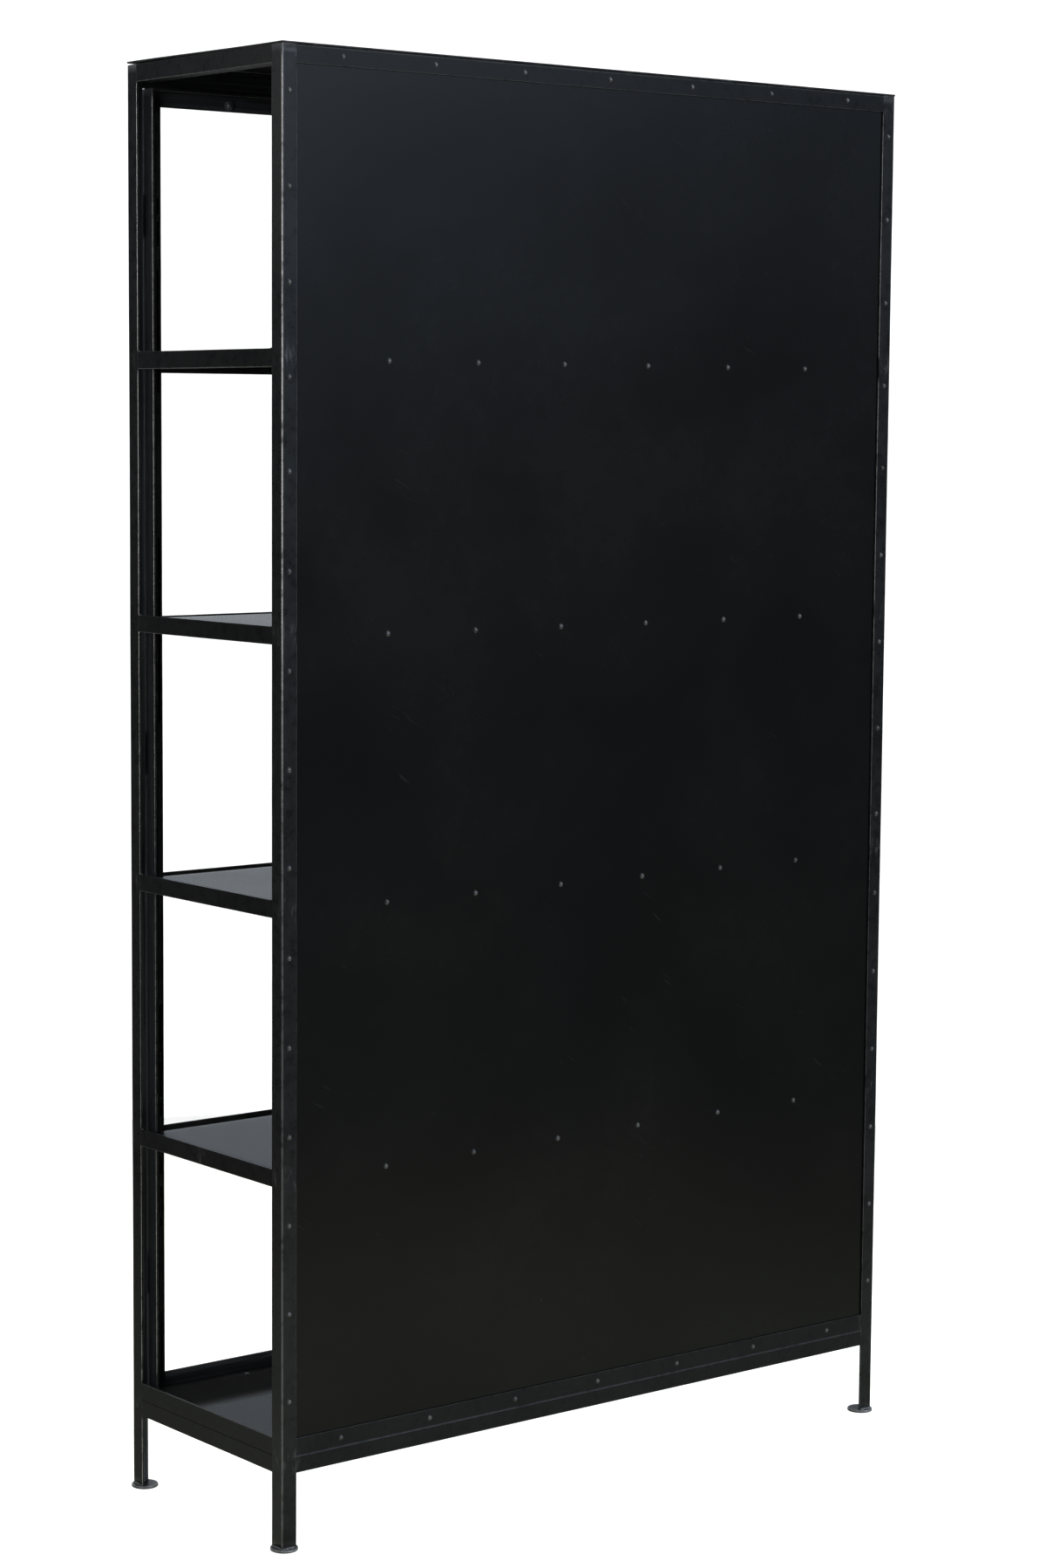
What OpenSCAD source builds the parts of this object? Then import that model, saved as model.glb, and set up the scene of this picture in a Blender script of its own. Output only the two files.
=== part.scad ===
// Tall angle-iron display bookcase: open sides, riveted sheet-metal back,
// four fixed tray shelves, a bottom tray and two inset glazed doors.
// Millimetres, +Z up, the doors face -Y. The origin is the centre of the
// footprint, on the floor.

/* [Overall] */
// Width over the posts
cabinet_w = 1165; // [900:5:1300]
// Depth over the posts
cabinet_d = 388; // [340:2:460]
// Height from the floor to the top of the top sheet
cabinet_h = 2100; // [2080:5:2200]
// Height of the frame's underside, so the length of the bare legs
leg_h = 112; // [80:2:150]

/* [Angle iron] */
// Width of each flange of the frame's angle iron
angle_w = 25; // [20:1:30]
// Thickness of the angle iron
angle_t = 3; // [2:0.5:4]
// Radius of the rolled outer corner
corner_r = 2.5; // [1:0.5:3]

/* [Shelves] */
// Height of the first shelf rail's top edge
first_rail_z = 547; // [500:1:600]
// Distance from one shelf rail to the next
shelf_pitch = 380.5; // [340:0.5:385]
// How far the shelf surface lies below the rail's top edge
shelf_drop = 4; // [0:0.5:8]
// Gap between a shelf and the inside of the side rails
shelf_side_gap = 3.5; // [1:0.5:8]
// How far the shelves stop behind the front of the posts
shelf_setback = 37; // [32:1:60]
// Height of the bottom tray, from its lip to its surface
bottom_tray_h = 13; // [8:1:20]
// Radius of the shelves' folded side edges
fold_r = 3; // [2:0.5:5]

/* [Sheet metal] */
// Thickness of the back panel, the shelves and the trays
sheet_t = 1.5; // [1:0.1:2]
// Thickness of the top sheet
top_t = 3; // [2:0.5:4]

/* [Doors] */
// Gap between a door and the post it hangs on
door_gap = 1.4; // [1.2:0.1:3]
// Gap between the two doors, and below them
meeting_gap = 3; // [2:0.5:4]
// Height of the face of the front top rail
head_rail_h = 30; // [25:0.5:35]
// Gap between the doors and the front top rail
door_top_gap = 2; // [1.5:0.5:5]
// Width of a door stile's face
stile_w = 28; // [22:1:34]
// Height of the face of a door's bottom rail
door_rail_h = 26; // [22:1:34]
// Height of the face of a door's top rail
door_head_h = 24.5; // [22:0.5:34]
// Depth of the door frame's inner flange
door_depth = 25; // [18:1:28]
// Height of a glazing bar
bar_h = 26; // [15:1:30]
// Thickness of the glass
glass_t = 4; // [3:1:6]
// How far the glass laps behind the door frame
glass_lap = 6.5; // [4:0.5:10]
// Distance of the upper glass clips from the door's sides
clip_inset = 145; // [60:5:200]

/* [Hinges and knobs] */
// Number of hinges on each door
hinge_count = 3; // [2:1:4]
// Outer diameter of a hinge barrel
barrel_d = 10; // [8:1:12]
// Height of a whole hinge barrel
barrel_h = 60; // [40:2:90]
// Diameter of a hinge pin
pin_d = 5; // [4:0.5:6]
// Diameter of a knob
knob_d = 24; // [18:1:32]
// How far a knob stands out of its door
knob_out = 26; // [20:1:36]
// Height of the knobs
knob_z = 1050; // [900:10:1200]

/* [Rivets and feet] */
// Diameter of a rivet's shank
rivet_d = 4; // [3:0.5:5]
// Diameter of a rivet's domed head
head_d = 7; // [6:0.5:9]
// Height of a rivet's domed head
head_h = 2.2; // [1.5:0.1:3]
// Distance between the rivets of a row across the back
rivet_pitch = 160; // [120:5:170]
// How unevenly the shelf rivets were drilled
drill_scatter = 2.5; // [0:0.5:4]
// Diameter of a foot disc
foot_d = 40; // [30:1:50]
// Thickness of a foot disc
foot_t = 4; // [3:0.5:6]

/* [Hidden] */
$fn = 48;
clear = 0.5;
hole_d = rivet_d + 0.2;
bore_d = pin_d + 0.12;
tail_d = 6;
tail_h = 1.2;
shelf_count = 4;

half_w = cabinet_w / 2;
foot_over = (foot_d - angle_w) / 2;
y_front = -(cabinet_d + knob_out + foot_over) / 2 + knob_out;
y_back = y_front + cabinet_d;
frame_top = cabinet_h - top_t;
inner_w = cabinet_w - 2 * angle_w;
inner_d = cabinet_d - 2 * angle_w;
top_rail_z = frame_top - angle_w;
sill_z = leg_h + angle_w;

panel_w = cabinet_w - 2 * (angle_t + clear);
panel_z = [sill_z, frame_top - angle_t - clear];
panel_y = y_back - angle_t - sheet_t;

shelf_w = cabinet_w - 2 * (angle_t + shelf_side_gap);
shelf_y = y_front + shelf_setback;
shelf_h = angle_w - angle_t - shelf_drop;
tray_gap = 2.5;

// Even runs of rivets down the rear posts: the height where each run
// starts or ends, and the number of gaps in each run.
run_z = [217, 974, 1521, 2034];
run_gaps = [6, 4, 4];
post_rivets = concat(
    [run_z[0]],
    [for (r = [0:len(run_gaps) - 1], k = [1:run_gaps[r]])
        run_z[r] + (run_z[r + 1] - run_z[r]) * k / run_gaps[r]]);
rail_rivets = 7;
shelf_rivets = 6;
shelf_rivet_drop = 15;
tray_rivet_in = 6;
tray_rivet_pitch = 162;

door_x = half_w - angle_w - door_gap;
door_w = door_x - meeting_gap / 2;
door_z = sill_z + meeting_gap;
door_top = frame_top - head_rail_h - door_top_gap;
door_h = door_top - door_z;
glass_w = door_w - 2 * (stile_w - glass_lap);
glass_h = door_h - door_rail_h - door_head_h + 2 * glass_lap;
clip_d = 14;
clip_t = 1.5;
stud_d = 4;
nut_d = 9;
nut_h = 3.5;
clip_over = glass_lap + stud_d / 2 + clear;
clips = [
    [door_w / 2, door_rail_h - clip_over],
    [clip_inset, door_h - door_head_h + clip_over],
    [door_w - clip_inset, door_h - door_head_h + clip_over]];

barrel_gap = 0.3;
leaf_w = 15;
leaf_t = 2;
pivot = [half_w - angle_w - door_gap / 2, y_front - barrel_d / 2 - 1];
hinge_end = 180;

stop_w = 60;
stop_t = 3;
stop_drop = 20;

// Top edge of shelf rail n, counted from the bottom.
function rail_top(n) = first_rail_z + (n - 1) * shelf_pitch;

// Places of a row of rivets across the back, centred on the cabinet.
function row_x(count) = [for (i = [0:count - 1]) (i - (count - 1) / 2) * rivet_pitch];

// The same for shelf n, a little uneven, as marked out by hand.
function shelf_row_x(n) =
    row_x(shelf_rivets) + rands(-drill_scatter, drill_scatter, shelf_rivets, n * 7);

// Places of the rivets near the front edge of the bottom tray.
function tray_row_x() =
    [for (i = [0:shelf_rivets - 1]) (i - (shelf_rivets - 1) / 2) * tray_rivet_pitch];

// Height of hinge i on a door.
function hinge_z(i) =
    door_z + hinge_end + (door_h - 2 * hinge_end) * i / (hinge_count - 1) - barrel_h / 2;

// Mirrors its children to the right when side is 1; they are drawn on the left.
module on_side(side) {
    mirror([side > 0 ? 1 : 0, 0, 0]) children();
}

// Moves its children from the rear left corner to any corner of the frame.
module at_corner(side, back) {
    on_side(side)
        translate([-half_w, back > 0 ? y_back : y_front, 0])
            mirror([0, back > 0 ? 1 : 0, 0])
                children();
}

// Section of an angle iron with its outer corner at the origin.
module angle_section(wide, deep) {
    translate([corner_r, 0]) square([wide - corner_r, angle_t]);
    translate([0, corner_r]) square([angle_t, deep - corner_r]);
    intersection() {
        translate([corner_r, corner_r]) circle(corner_r);
        square(corner_r);
    }
}

// Angle iron lying along +Y, outer face at x = 0, from z = 0 up. The level
// flange is at the bottom, or at the top when flange_up is true.
module side_angle(length, flange_up = false) {
    translate([0, 0, flange_up ? angle_w : 0])
        mirror([0, 0, flange_up ? 1 : 0])
            translate([0, length, 0])
                rotate([90, 0, 0])
                    linear_extrude(length) angle_section(angle_w, angle_w);
}

// Angle iron lying along X, centred, outer face at y = 0, level flange on top
// at the given height. Its face is high.
module cross_angle(length, top, high = angle_w) {
    translate([length / 2, 0, top])
        rotate([0, 0, 90])
            mirror([0, 0, 1])
                translate([0, length, 0])
                    rotate([90, 0, 0])
                        linear_extrude(length) angle_section(angle_w, high);
}

// Holes along +Y for rivets at the given points, through the rear of the frame.
module back_hole(x, z) {
    translate([x, y_back - angle_t - 2 * sheet_t - tray_gap, z])
        rotate([-90, 0, 0])
            cylinder(d = hole_d, h = angle_t + 4 * sheet_t + tray_gap);
}

// Rivet with a domed head above z = 0, holding a stack of the given thickness
// below it, and a flat tail.
module rivet(grip) {
    dome_r = (pow(head_h, 2) + pow(head_d / 2, 2)) / (2 * head_h);
    intersection() {
        translate([0, 0, head_h - dome_r]) sphere(dome_r);
        cylinder(d = head_d + 2, h = head_h + 1);
    }
    translate([0, 0, -grip]) cylinder(d = rivet_d, h = grip + head_h / 2);
    translate([0, 0, -grip - tail_h]) cylinder(d = tail_d, h = tail_h);
}

// Places of the frame's rivets, as [x, z].
function post_points(side) = [for (z = post_rivets) [side * (half_w - angle_w / 2), z]];
function rail_points() =
    [for (x = row_x(rail_rivets), z = [top_rail_z, sill_z]) [x, z + angle_w / 2]];

module post(side, back) {
    color("#1b1c1e") difference() {
        at_corner(side, back)
            translate([0, 0, foot_t])
                linear_extrude(frame_top - foot_t) angle_section(angle_w, angle_w);
        if (back > 0)
            for (p = post_points(side)) back_hole(p[0], p[1]);
    }
}

module feet() {
    color("#232426")
        for (side = [-1, 1], back = [0, 1])
            at_corner(side, back)
                translate([angle_w / 2, angle_w / 2, 0])
                    cylinder(d = foot_d, h = foot_t);
}

module top_rail_front() {
    color("#1b1c1e") translate([0, y_front, 0]) cross_angle(inner_w, frame_top, head_rail_h);
}

module top_rail_rear() {
    color("#1b1c1e") difference() {
        translate([0, y_back, 0]) mirror([0, 1, 0]) cross_angle(inner_w, frame_top);
        for (x = row_x(rail_rivets)) back_hole(x, top_rail_z + angle_w / 2);
    }
}

module top_rail_side(side) {
    color("#1b1c1e") on_side(side)
        translate([-half_w, y_front + angle_w, top_rail_z]) side_angle(inner_d);
}

module base_rail_front() {
    color("#1b1c1e") translate([0, y_front, 0]) cross_angle(inner_w, sill_z);
}

module base_rail_rear() {
    color("#1b1c1e") translate([0, y_back, 0]) mirror([0, 1, 0]) cross_angle(inner_w, sill_z);
}

module base_rail_side(side) {
    color("#1b1c1e") on_side(side)
        translate([-half_w, y_front + angle_w, leg_h]) side_angle(inner_d, true);
}

module sill_rear() {
    color("#1b1c1e") difference() {
        translate([-inner_w / 2, y_back - angle_t, sill_z])
            cube([inner_w, angle_t, angle_w]);
        for (x = row_x(rail_rivets)) back_hole(x, sill_z + angle_w / 2);
    }
}

module sill_side(side) {
    color("#1b1c1e") on_side(side)
        translate([-half_w, y_front + angle_w, sill_z]) cube([angle_t, inner_d, angle_w]);
}

module shelf_rail(side, n) {
    color("#1b1c1e") on_side(side)
        translate([-half_w, y_front + angle_w, rail_top(n) - angle_w]) side_angle(inner_d);
}

// Section across a folded tray, lips down, standing on z = 0.
module tray_section(high) {
    difference() {
        tray_outline(shelf_w, high, fold_r);
        tray_outline(shelf_w - 2 * sheet_t, high - sheet_t, fold_r - sheet_t);
    }
}

module tray_outline(wide, high, r) {
    translate([-wide / 2, -1]) square([wide, high + 1 - r]);
    translate([-wide / 2 + r, 0]) square([wide - 2 * r, high]);
    for (side = [-1, 1])
        translate([side * (wide / 2 - r), high - r]) circle(r);
}

// Folded tray with four lips, its surface at the given height.
module tray(high, deep) {
    lip_w = shelf_w - 2 * sheet_t;
    intersection() {
        translate([0, deep, 0]) rotate([90, 0, 0])
            linear_extrude(deep) tray_section(high);
        translate([-half_w, 0, 0]) cube([cabinet_w, deep, high]);
    }
    for (y = [0, deep - sheet_t])
        translate([-lip_w / 2, y, 0]) cube([lip_w, sheet_t, high - sheet_t / 2]);
}

module shelf(n) {
    color("#303236") difference() {
        translate([0, shelf_y, rail_top(n) - angle_w + angle_t])
            tray(shelf_h, panel_y - shelf_y);
        for (x = shelf_row_x(n)) back_hole(x, rail_top(n) - shelf_rivet_drop);
    }
}

module bottom_tray() {
    color("#303236") difference() {
        translate([0, shelf_y, sill_z]) tray(bottom_tray_h, panel_y - tray_gap - shelf_y);
        for (x = tray_row_x())
            translate([x, shelf_y + tray_rivet_in, sill_z + clear])
                cylinder(d = hole_d, h = bottom_tray_h);
    }
}

module back_panel() {
    color("#141518") difference() {
        translate([-panel_w / 2, panel_y, panel_z[0]])
            cube([panel_w, sheet_t, panel_z[1] - panel_z[0]]);
        for (p = concat(post_points(-1), post_points(1), rail_points()))
            back_hole(p[0], p[1]);
        for (n = [1:shelf_count], x = shelf_row_x(n))
            back_hole(x, rail_top(n) - shelf_rivet_drop);
    }
}

module top_panel() {
    color("#1b1c1e") translate([-half_w, y_front, frame_top])
        cube([cabinet_w, cabinet_d, top_t]);
}

module frame_rivets() {
    color("#2a2b2d")
        for (p = concat(post_points(-1), post_points(1), rail_points()))
            translate([p[0], y_back, p[1]]) rotate([-90, 0, 0]) rivet(angle_t + sheet_t);
}

module shelf_rivets() {
    color("#2a2b2d") {
        for (n = [1:shelf_count], x = shelf_row_x(n))
            translate([x, y_back - angle_t, rail_top(n) - shelf_rivet_drop])
                rotate([-90, 0, 0]) rivet(2 * sheet_t);
        for (x = tray_row_x())
            translate([x, shelf_y + tray_rivet_in, sill_z + bottom_tray_h]) rivet(sheet_t);
    }
}

// Lower halves of the hinges, welded to the front posts, with their pins.
module hinge_pins() {
    half_h = (barrel_h - barrel_gap) / 2;
    color("#26272a")
        for (side = [-1, 1], i = [0:hinge_count - 1])
            on_side(side) translate([-pivot[0], pivot[1], hinge_z(i)]) {
                cylinder(d = barrel_d, h = half_h);
                cylinder(d = pin_d, h = barrel_h);
                translate([-leaf_w, -pivot[1] + y_front - leaf_t, 0])
                    cube([leaf_w, leaf_t, half_h]);
            }
}

// Bent stop plate behind the tops of both doors.
module door_stop() {
    color("#26272a") {
        translate([-stop_w / 2, y_front + angle_t, frame_top - angle_t - stop_t])
            cube([stop_w, door_depth + stop_t + clear - angle_t, stop_t]);
        translate([-stop_w / 2, y_front + door_depth + clear, door_top - stop_drop])
            cube([stop_w, stop_t, frame_top - angle_t - door_top + stop_drop]);
    }
}

// Door frame parts are drawn on the left door, with x = 0 at its hinge side.
module on_door(side) {
    on_side(side) translate([-door_x, y_front, door_z]) children();
}

module stile(side, meeting) {
    color("#1d1e20") on_door(side)
        translate([meeting ? door_w : 0, 0, 0])
            mirror([meeting ? 1 : 0, 0, 0])
                linear_extrude(door_h) angle_section(stile_w, door_depth);
}

module door_rail(side, at_top) {
    high = at_top ? door_head_h : door_rail_h;
    color("#1d1e20") on_door(side)
        translate([0, 0, at_top ? door_h : 0]) mirror([0, 0, at_top ? 1 : 0]) {
            translate([stile_w, 0, 0]) cube([door_w - 2 * stile_w, angle_t, high]);
            translate([angle_t, angle_t, 0])
                cube([door_w - 2 * angle_t, door_depth - angle_t, angle_t]);
        }
}

module glazing_bar(side, n) {
    color("#1d1e20") on_door(side)
        translate([stile_w, 0, rail_top(n) - shelf_drop - bar_h - door_z])
            cube([door_w - 2 * stile_w, angle_t, bar_h]);
}

module glass(side) {
    color("#b9c6cc") on_door(side)
        translate([stile_w - glass_lap, angle_t, door_rail_h - glass_lap])
            cube([glass_w, glass_t, glass_h]);
}

// Clips that hold the glass: a welded stud, a round plate and a domed nut.
module glass_clips(side) {
    nut_r = (pow(nut_h, 2) + pow(nut_d / 2, 2)) / (2 * nut_h);
    color("#3a3b3d") on_door(side)
        for (c = clips)
            translate([c[0], angle_t, c[1]]) rotate([-90, 0, 0]) {
                cylinder(d = stud_d, h = glass_t + clip_t);
                translate([0, 0, glass_t]) cylinder(d = clip_d, h = clip_t);
                translate([0, 0, glass_t + clip_t]) intersection() {
                    translate([0, 0, nut_h - nut_r]) sphere(nut_r);
                    cylinder(d = nut_d + 2, h = nut_h + 1);
                }
            }
}

// Upper halves of the hinges, welded to the door, bored for the pins.
module hinge_sleeves(side) {
    half_h = (barrel_h - barrel_gap) / 2;
    color("#26272a") on_side(side)
        for (i = [0:hinge_count - 1])
            translate([-pivot[0], pivot[1], hinge_z(i) + barrel_h - half_h])
                difference() {
                    union() {
                        cylinder(d = barrel_d, h = half_h);
                        translate([0, -pivot[1] + y_front - leaf_t, 0])
                            cube([leaf_w, leaf_t, half_h]);
                    }
                    translate([0, 0, -1]) cylinder(d = bore_d, h = half_h + 2);
                }
}

// Turned knob on the meeting stile: a rose, a waist and a rounded head.
module knob(side) {
    rose_h = 3;
    waist_d = 9;
    head_t = 10;
    edge_r = 3;
    color("#26272a") on_door(side)
        translate([door_w - stile_w / 2, 0, knob_z - door_z]) rotate([90, 0, 0])
            rotate_extrude($fn = 64) {
                square([knob_d / 3, rose_h]);
                square([waist_d / 2, knob_out - edge_r]);
                translate([0, knob_out - head_t]) {
                    square([knob_d / 2 - edge_r, head_t]);
                    translate([0, edge_r]) square([knob_d / 2, head_t - 2 * edge_r]);
                    for (y = [edge_r, head_t - edge_r])
                        translate([knob_d / 2 - edge_r, y]) circle(edge_r, $fn = 32);
                }
            }
}

post(-1, 0);  // post_front_left
post(1, 0);  // post_front_right
post(-1, 1);  // post_rear_left
post(1, 1);  // post_rear_right
feet();
top_rail_front();
top_rail_rear();
top_rail_side(-1);  // top_rail_left
top_rail_side(1);  // top_rail_right
base_rail_front();
base_rail_rear();
base_rail_side(-1);  // base_rail_left
base_rail_side(1);  // base_rail_right
sill_rear();
sill_side(-1);  // sill_left
sill_side(1);  // sill_right
for (n = [1:shelf_count]) {
    shelf_rail(-1, n);
    shelf_rail(1, n);
    shelf(n);
    glazing_bar(-1, n);
    glazing_bar(1, n);
}
bottom_tray();
back_panel();
top_panel();
frame_rivets();
shelf_rivets();
hinge_pins();
door_stop();
stile(-1, false);  // left_hinge_stile
stile(-1, true);  // left_meeting_stile
door_rail(-1, true);  // left_door_top_rail
door_rail(-1, false);  // left_door_bottom_rail
glass(-1);  // left_glass
glass_clips(-1);  // left_glass_clips
hinge_sleeves(-1);  // left_hinge_sleeves
knob(-1);  // left_knob
stile(1, false);  // right_hinge_stile
stile(1, true);  // right_meeting_stile
door_rail(1, true);  // right_door_top_rail
door_rail(1, false);  // right_door_bottom_rail
glass(1);  // right_glass
glass_clips(1);  // right_glass_clips
hinge_sleeves(1);  // right_hinge_sleeves
knob(1);  // right_knob
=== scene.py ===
import math
import random

import bpy
from mathutils import Matrix, Vector, noise


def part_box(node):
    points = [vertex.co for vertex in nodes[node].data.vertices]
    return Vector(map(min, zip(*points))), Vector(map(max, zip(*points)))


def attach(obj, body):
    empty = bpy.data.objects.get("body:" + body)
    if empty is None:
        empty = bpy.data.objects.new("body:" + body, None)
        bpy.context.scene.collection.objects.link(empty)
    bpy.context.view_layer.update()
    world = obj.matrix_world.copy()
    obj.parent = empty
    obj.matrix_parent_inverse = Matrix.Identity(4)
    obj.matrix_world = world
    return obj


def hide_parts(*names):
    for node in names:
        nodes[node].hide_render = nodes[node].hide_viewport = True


noise.seed_set(1)  # else noise_vector draws its offsets from the clock
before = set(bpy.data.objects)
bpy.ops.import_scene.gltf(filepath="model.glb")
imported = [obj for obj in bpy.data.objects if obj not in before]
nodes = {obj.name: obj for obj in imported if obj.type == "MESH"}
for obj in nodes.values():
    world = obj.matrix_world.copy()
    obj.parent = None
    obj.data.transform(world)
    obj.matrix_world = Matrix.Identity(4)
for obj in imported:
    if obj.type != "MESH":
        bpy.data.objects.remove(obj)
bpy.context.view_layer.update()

X, Y, Z = Vector((1, 0, 0)), Vector((0, 1, 0)), Vector((0, 0, 1))
SIDES = ((-1, "left"), (1, "right"))
SHELVES = range(1, 5)
IRON_T = 0.003  # thickness of the angle iron's flanges
RAIL_W = 0.025  # width of the side rails' flanges
CORNER_R = 0.0025  # outer corner of the posts
TOE_R = 0.0005  # edges of the flanges
EASE = 0.0004  # cut ends of the bars
OVERLAP = 0.0005  # how far a bar runs into the one it is welded to
WELD_HEIGHTS = (0.537, 0.918, 1.298, 1.679, 2.083, 0.13)  # on the posts
ALONG_POSTS = (260.0, 260.0, 4.0)  # streaks, as features per metre
ALONG_RAILS = (4.0, 4.0, 260.0)
BARE_TINT = (1.0, 0.99, 0.96)
PAINTED_LIGHT_TINT = (0.92, 1.0, 1.12)
FLOOR_TINT = (0.98, 1.0, 0.81)
FLOOR_RADIUS = 2.6
DULL_TO = -0.045  # the y that parts the dull and the shiny floor of the tray


# ---------------------------------------------------------------- node helpers
def put(tree, kind, inputs=None, **props):
    """Adds a node; inputs holds values or sockets, by name or by number."""
    node = tree.nodes.new(kind)
    for key, value in props.items():
        setattr(node, key, value)
    for key, value in (inputs or {}).items():
        if isinstance(value, bpy.types.NodeSocket):
            tree.links.new(value, node.inputs[key])
        else:
            node.inputs[key].default_value = value
    return node


def calc(tree, operation, a, b=0.0, clamp=False):
    made = put(tree, "ShaderNodeMath", {0: a, 1: b}, operation=operation, use_clamp=clamp)
    return made.outputs[0]


def times(tree, a, b, clamp=False):
    return calc(tree, "MULTIPLY", a, b, clamp)


def plus(tree, a, b, clamp=False):
    return calc(tree, "ADD", a, b, clamp)


def along_axis(tree, coords, axis):
    """One coordinate: 0, 1 or 2 for x, y or z."""
    return put(tree, "ShaderNodeSeparateXYZ", {0: coords}).outputs[axis]


def attribute(tree, name):
    """What the mesh says at each point: wear, smear, painted light or scoured."""
    return put(tree, "ShaderNodeAttribute", attribute_name=name).outputs["Fac"]


def turned_by(tree, coords, **props):
    """Coordinates turned (Rotation) or stretched (Scale)."""
    return put(tree, "ShaderNodeMapping", {0: coords, **props}).outputs[0]


def rise(tree, value, low, high, out_low=0.0, out_high=1.0, smooth=True):
    """value from low to high becomes out_low to out_high, held at both ends."""
    made = put(
        tree,
        "ShaderNodeMapRange",
        {0: value, 1: low, 2: high, 3: out_low, 4: out_high},
        interpolation_type="SMOOTHSTEP" if smooth else "LINEAR",
    )
    return made.outputs[0]


def blend_colour(tree, factor, a, b):
    made = put(tree, "ShaderNodeMix", {0: factor, 6: a, 7: b}, data_type="RGBA")
    return made.outputs[2]


def cloud(tree, coords, scale, detail=3.0, rough=0.5, twist=0.0, stretch=None):
    """Noise of a given number of features per metre."""
    if stretch:
        coords = turned_by(tree, coords, Scale=stretch)
    settings = {"Scale": scale, "Detail": detail, "Roughness": rough, "Distortion": twist}
    return put(tree, "ShaderNodeTexNoise", {"Vector": coords, **settings}).outputs[0]


def grey(value, tint=(1.0, 1.0, 1.0)):
    """A colour with its alpha, of one lightness and a tint."""
    return tuple(value * t for t in tint) + (1.0,)


def new_material(name):
    made = bpy.data.materials.new(name)
    made.use_nodes = True
    tree = made.node_tree
    tree.nodes.clear()
    shader = put(tree, "ShaderNodeBsdfPrincipled")
    out = put(tree, "ShaderNodeOutputMaterial")
    tree.links.new(shader.outputs[0], out.inputs[0])
    coords = put(tree, "ShaderNodeTexCoord").outputs["Object"]
    return made, tree, shader, coords


def feed(tree, shader, **values):
    """Sets the shader's inputs, or links them where the value is a socket."""
    for key, value in values.items():
        socket = shader.inputs[key.replace("_", " ")]
        if isinstance(value, bpy.types.NodeSocket):
            tree.links.new(value, socket)
        else:
            socket.default_value = value


def bump(tree, height, distance, strength=1.0):
    return put(
        tree, "ShaderNodeBump", {"Height": height, "Distance": distance, "Strength": strength}
    ).outputs[0]


# ------------------------------------------------------------------- materials
def lacquered_iron(name, dark, light, spec, rough, steel=0.24, mottle=1.0, low_wear_and_sheen=0.8,
                   streaking=ALONG_POSTS):
    """Black lacquer over rolled iron, rubbed through along its edges, and lifted with painted light
    on some faces.

    dark and light are the paint's extremes, steel the grey of the bare metal,
    and the number after mottle how much of the rubbed edges, partly wear and partly a painted
    highlight, is left near the floor."""
    made, tree, shader, coords = new_material(name)
    broad = cloud(tree, coords, 9.0, 4.0, 0.6, 0.3)
    mid = cloud(tree, coords, 70.0, 6.0, 0.7, 0.2)
    grain = cloud(tree, coords, 900.0, 2.0, 0.6)
    wear = attribute(tree, "wear")
    smear = attribute(tree, "smear")
    painted_light = attribute(tree, "painted_light")
    tone = plus(tree, times(tree, broad, 0.45), times(tree, mid, 0.55))
    tone = rise(tree, tone, 0.5 - 0.16 * mottle, 0.5 + 0.16 * mottle)
    paint = blend_colour(tree, tone, grey(dark, (0.94, 1.0, 1.08)), grey(light, (0.98, 1.0, 1.02)))
    # Inside the angles, and on a few other faces, the paint turns to a lighter streaked grey:
    # painted light in place of their shade.
    streak = cloud(tree, coords, 1.0, 4.0, 0.65, 0.0, streaking)
    painted_light_grey = blend_colour(tree, rise(tree, streak, 0.35, 0.65),
                           grey(0.026, PAINTED_LIGHT_TINT), grey(0.075, PAINTED_LIGHT_TINT))
    paint = blend_colour(tree, painted_light, paint, painted_light_grey)
    # Rubbed edges fade from 1.5 m down to 0.7 m: partly wear, partly a painted highlight that is
    # brightest up high.
    height_up = along_axis(tree, coords, 2)
    wear = times(tree, wear, rise(tree, height_up, 0.7, 1.5, low_wear_and_sheen, 1.0))
    # Rubbed edges come and go; the smears are ground welds under thinly spread paint.
    patchy = rise(tree, plus(tree, mid, times(tree, broad, 0.6)), 0.55, 0.85, 0.25)
    rubbed = times(tree, wear, patchy, clamp=True)
    scuff = rise(tree, cloud(tree, coords, 55.0, 5.0, 0.75, 0.0, (2.0, 2.0, 0.6)), 0.5, 0.68)
    ground = times(tree, smear, scuff, clamp=True)
    bare = calc(tree, "MAXIMUM", rubbed, times(tree, ground, 0.5))
    colour = blend_colour(tree, bare, paint, grey(steel, BARE_TINT))
    dull = rise(tree, mid, 0.3, 0.7, rough - 0.07, rough + 0.07, smooth=False)
    height = plus(
        tree, times(tree, mid, 0.7), times(tree, grain, 0.14)
    )
    feed(
        tree,
        shader,
        Base_Color=colour,
        Metallic=times(tree, bare, 0.9),
        Roughness=calc(tree, "SUBTRACT", dull, times(tree, bare, 0.06)),
        Specular_IOR_Level=spec,
        Normal=bump(tree, height, 0.0003, 0.5),
    )
    return made


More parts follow.
